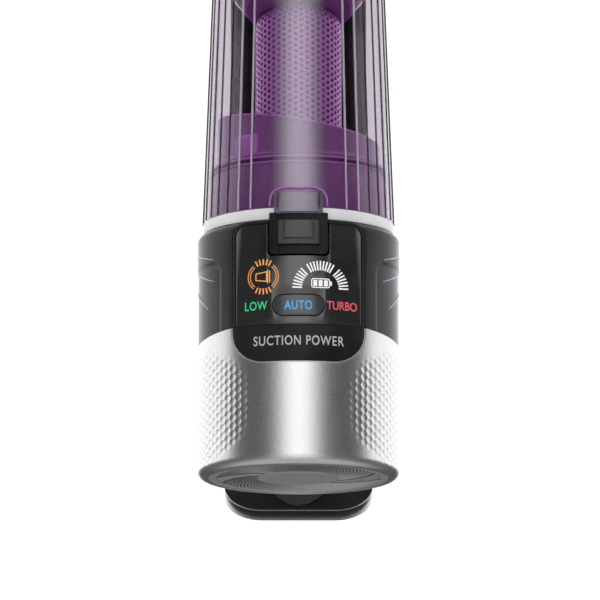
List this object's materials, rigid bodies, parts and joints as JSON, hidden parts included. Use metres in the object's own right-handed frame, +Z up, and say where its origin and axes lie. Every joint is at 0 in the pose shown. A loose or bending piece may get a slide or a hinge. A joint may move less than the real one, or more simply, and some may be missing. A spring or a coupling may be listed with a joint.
{
  "type": "cordless stick vacuum",
  "caption": "Cordless stick vacuum with a see-through cyclone bin, display, pistol grip, clip-on battery, folding wand and powered floor head.",
  "frame": {"origin": "middle of the battery's flat base, which rests on the wall dock", "axes": "+Y out of the battery's base into the wall, +Z up along the barrel and the wand, +X across; the display faces -Y"},
  "size_m": [0.2508, 0.2309, 1.1001],
  "materials": {
    "silver": "fine metallic lacquer",
    "satin_black": "satin",
    "gloss_black": "polished",
    "dark_lens": "polished",
    "clear_tint": "clear, lightly tinted",
    "violet": "satin gloss",
    "trim_white": "satin",
    "rubber": "matt",
    "bright_metal": "machined",
    "steel": "brushed",
    "foam": "pleated filter cloth",
    "circuit": "solder mask",
    "cell_wrap": "shrink wrap over steel cans",
    "bristle": "nylon bristle strips"
  },
  "bodies": {
    "body": {"motor_housing": "silver", "control_housing": "satin_black", "trim_ring": "trim_white", "exhaust_cover": "silver", "exhaust_filter": "foam", "display_bezel": "gloss_black", "display_lens": "dark_lens", "display_tray": "satin_black", "display_board": "circuit", "latch_guide": "gloss_black", "motor_can": "bright_metal", "motor_mount_rear": "rubber", "motor_mount_front": "rubber", "motor_board": "circuit", "intake_funnel": "satin_black", "duct_housing": "gloss_black", "inlet_gasket": "rubber", "handle_left": "gloss_black", "handle_right": "gloss_black", "handle_screw_upper": "steel", "handle_screw_lower": "steel", "grip_pad": "rubber", "trigger_switch": "satin_black"},
    "mode_key": {"mode_button": "dark_lens"},
    "bin_latch": {"latch_button": "gloss_black"},
    "trigger_key": {"trigger": "violet"},
    "rotor": {"motor_shaft": "steel", "impeller": "satin_black"},
    "battery": {"battery_housing": "gloss_black", "battery_lid": "satin_black", "battery_cells": "cell_wrap", "battery_board": "circuit"},
    "battery_key_left": {"battery_latch_left": "satin_black"},
    "battery_key_right": {"battery_latch_right": "satin_black"},
    "bin": {"bin_shell": "clear_tint", "cyclone_base": "violet", "mesh_screen": "violet", "cyclone_head": "violet", "bin_filter": "foam"},
    "upper_wand": {"wand_collar": "gloss_black", "upper_tube": "bright_metal", "knee_fork": "satin_black", "knee_pin_left": "steel", "knee_pin_right": "steel"},
    "wand_key": {"wand_button": "violet"},
    "knee_key": {"knee_button": "violet"},
    "lower_wand": {"knee_hose": "rubber", "knee_knuckle": "satin_black", "lower_tube": "bright_metal", "wand_foot": "satin_black"},
    "neck": {"neck": "satin_black"},
    "head": {"head_base": "satin_black", "head_cover": "gloss_black", "brush_motor": "bright_metal", "drive_belt": "rubber"},
    "roller": {"brush_roller": "bristle"},
    "roller_cap": {"roller_cap": "violet"},
    "belt_drive": {"motor_pulley": "bright_metal"},
    "wheel_left": {"wheel_left": "rubber"},
    "wheel_right": {"wheel_right": "rubber"}
  },
  "joints": [
    {"name": "mode_press", "type": "slide", "parent": "body", "child": "mode_key", "axis": [0, 1, 0], "range_m": [0, 0.0008], "stiffness_N_per_m": 600, "springref_m": -0.001},
    {"name": "bin_release", "type": "slide", "parent": "body", "child": "bin_latch", "axis": [0, 0, 1], "range_m": [0, 0.0034], "stiffness_N_per_m": 300, "springref_m": -0.002},
    {"name": "trigger_pull", "type": "hinge", "parent": "body", "child": "trigger_key", "pos_m": [0, -0.1208, 0.01034], "axis": [1, 0, 0], "range_deg": [0, 8], "stiffness_Nm_per_rad": 0.3, "springref_deg": -11.46},
    {"name": "rotor_spin", "type": "hinge", "parent": "body", "child": "rotor", "pos_m": [0, -0.18, 0.008], "axis": [0, 0, 1], "continuous": true},
    {"name": "battery_slide", "type": "slide", "parent": "body", "child": "battery", "axis": [0, 1, 0], "range_m": [0, 0.05]},
    {"name": "battery_key_left_press", "type": "slide", "parent": "battery", "child": "battery_key_left", "axis": [1, 0, 0], "range_m": [0, 0.0015], "stiffness_N_per_m": 600, "springref_m": -0.002},
    {"name": "battery_key_right_press", "type": "slide", "parent": "battery", "child": "battery_key_right", "axis": [-1, 0, 0], "range_m": [0, 0.0015], "stiffness_N_per_m": 600, "springref_m": -0.002},
    {"name": "bin_swing", "type": "hinge", "parent": "body", "child": "bin", "pos_m": [0, -0.136, -0.211], "axis": [1, 0, 0], "range_deg": [0, 35]},
    {"name": "wand_slide", "type": "slide", "parent": "body", "child": "upper_wand", "axis": [0, 0, -1], "range_m": [0, 0.03]},
    {"name": "wand_key_press", "type": "slide", "parent": "upper_wand", "child": "wand_key", "axis": [0, 1, 0], "range_m": [0, 0.0017], "stiffness_N_per_m": 600, "springref_m": -0.002},
    {"name": "knee_key_press", "type": "slide", "parent": "upper_wand", "child": "knee_key", "axis": [0, 1, 0], "range_m": [0, 0.0017], "stiffness_N_per_m": 600, "springref_m": -0.002},
    {"name": "knee_fold", "type": "hinge", "parent": "upper_wand", "child": "lower_wand", "pos_m": [0, -0.113, -0.5821], "axis": [1, 0, 0], "range_deg": [0, 90], "deforming": ["knee_hose"]},
    {"name": "neck_swivel", "type": "hinge", "parent": "lower_wand", "child": "neck", "pos_m": [0, -0.113, -0.9621], "axis": [0, 0, 1], "range_deg": [-80, 80]},
    {"name": "head_tilt", "type": "hinge", "parent": "neck", "child": "head", "pos_m": [0, -0.113, -0.9981], "axis": [1, 0, 0], "range_deg": [0, 80]},
    {"name": "roller_spin", "type": "hinge", "parent": "head", "child": "roller", "pos_m": [0, -0.177, -1.0061], "axis": [1, 0, 0], "continuous": true},
    {"name": "belt_pulley_spin", "type": "hinge", "parent": "head", "child": "belt_drive", "pos_m": [0, -0.133, -1.0081], "axis": [1, 0, 0], "continuous": true},
    {"name": "cap_turn", "type": "hinge", "parent": "head", "child": "roller_cap", "pos_m": [0.12, -0.177, -1.0061], "axis": [1, 0, 0], "range_deg": [0, 45]},
    {"name": "wheel_left_spin", "type": "hinge", "parent": "head", "child": "wheel_left", "pos_m": [-0.117, -0.101, -1.0191], "axis": [1, 0, 0], "continuous": true},
    {"name": "wheel_right_spin", "type": "hinge", "parent": "head", "child": "wheel_right", "pos_m": [0.117, -0.101, -1.0191], "axis": [1, 0, 0], "continuous": true}
  ],
  "couplings": [
    {"joint": "belt_pulley_spin", "follows": "roller_spin", "ratio": 1.5}
  ]
}
